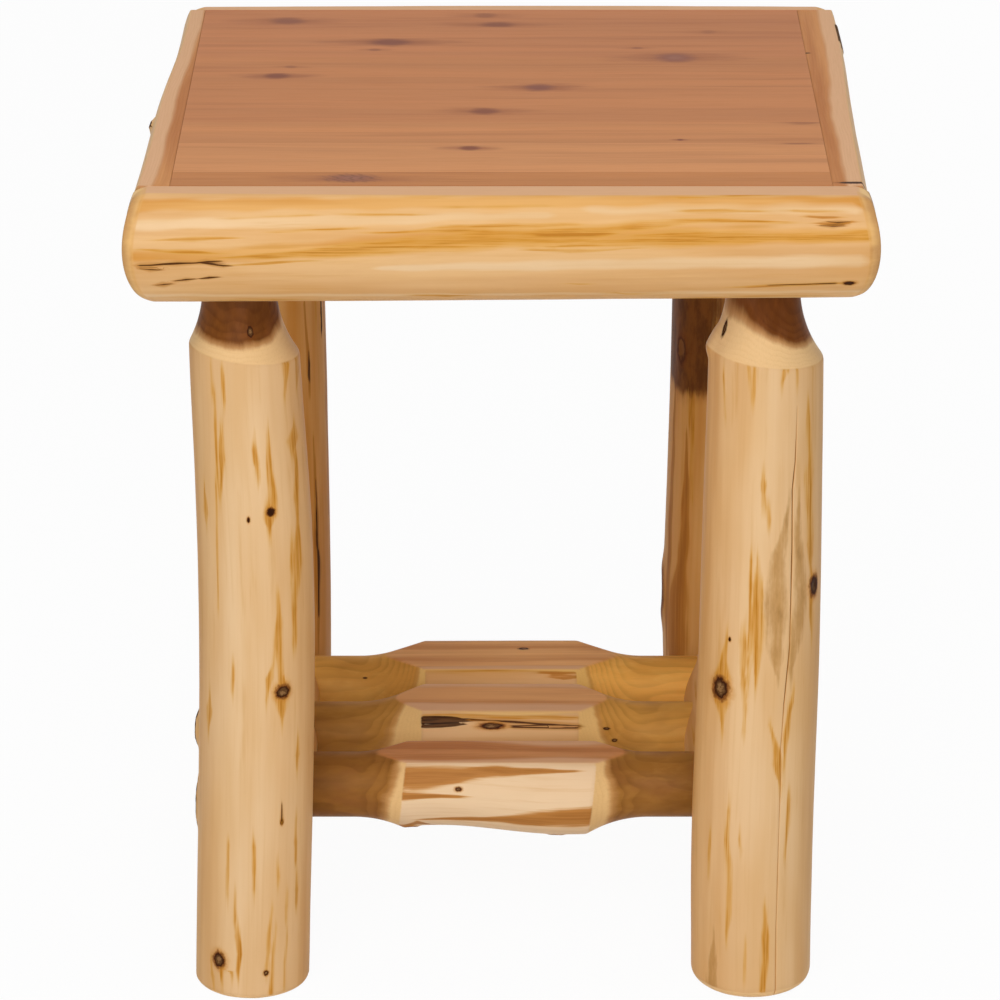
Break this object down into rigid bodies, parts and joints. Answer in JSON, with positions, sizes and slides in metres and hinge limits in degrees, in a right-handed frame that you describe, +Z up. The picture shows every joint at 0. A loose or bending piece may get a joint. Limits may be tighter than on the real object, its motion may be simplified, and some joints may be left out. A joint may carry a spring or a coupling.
{
  "type": "log end table",
  "caption": "Square end table of peeled cedar logs: boarded top edged with half-log rails, round legs with tapered tenons, and a low shelf of log slats planed flat.",
  "frame": {"origin": "on the floor, under the middle of the table's overall box", "axes": "+X to the right seen from the front, +Y from front to rear, +Z up"},
  "size_m": [0.508, 0.522, 0.6096],
  "materials": {
    "peeled_log": "peeled pale cedar sapwood with golden streaks under clear satin lacquer",
    "heartwood_board": "planed red cedar heartwood under clear satin lacquer",
    "batten": "planed softwood, unfinished",
    "dowel": "plain hardwood rod",
    "screw": "zinc-plated steel"
  },
  "bodies": {
    "root": {"front_left_leg": "peeled_log", "front_right_leg": "peeled_log", "rear_left_leg": "peeled_log", "rear_right_leg": "peeled_log", "front_rail": "peeled_log", "rear_rail": "peeled_log", "left_rail": "peeled_log", "right_rail": "peeled_log", "left_stretcher": "peeled_log", "right_stretcher": "peeled_log", "front_slat": "peeled_log", "middle_slat": "peeled_log", "rear_slat": "peeled_log", "top_board_1": "heartwood_board", "top_board_2": "heartwood_board", "top_board_3": "heartwood_board", "top_board_4": "heartwood_board", "top_board_5": "heartwood_board", "top_board_6": "heartwood_board", "top_board_7": "heartwood_board", "left_batten": "batten", "right_batten": "batten", "front_rail_dowels": "dowel", "rear_rail_dowels": "dowel", "left_rail_dowels": "dowel", "right_rail_dowels": "dowel", "corner_dowels": "dowel", "batten_screws": "screw", "leg_screws": "screw"}
  },
  "joints": []
}
